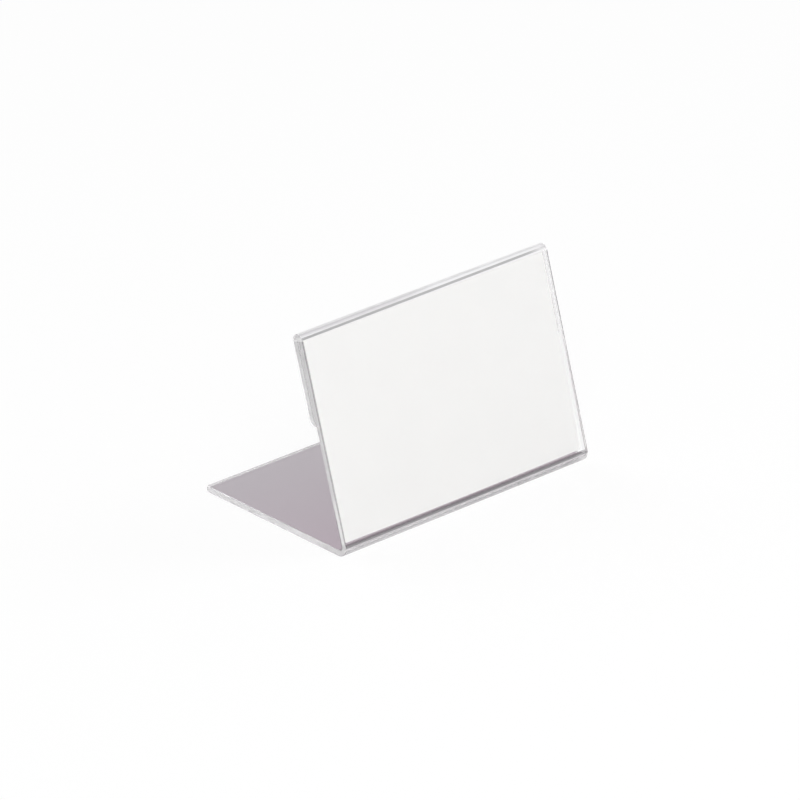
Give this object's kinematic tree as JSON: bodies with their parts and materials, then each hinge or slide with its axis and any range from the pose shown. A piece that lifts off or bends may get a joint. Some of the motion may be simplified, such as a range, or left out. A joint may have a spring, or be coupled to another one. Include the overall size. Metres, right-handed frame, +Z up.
{
  "type": "table sign holder",
  "caption": "Slant-back table sign holder: a clear acrylic strip bent into a foot, a leaning front panel and a top fold whose back flap pinches a slide-in sign card.",
  "frame": {"origin": "middle of the footprint, on the table", "axes": "+X along the sign's width, +Y from the sign's front to its rear, +Z up"},
  "size_m": [0.087, 0.0555, 0.0583],
  "materials": {
    "clear_acrylic": "clear polished sheet with cut edges",
    "white_card": "plain uncoated white card"
  },
  "bodies": {
    "holder": {"bent_sheet": "clear_acrylic"},
    "card": {"sign_card": "white_card"}
  },
  "joints": [
    {"name": "card_slide", "type": "slide", "parent": "holder", "child": "card", "axis": [1, 0, 0], "range_m": [-0.09, 0.09]}
  ]
}
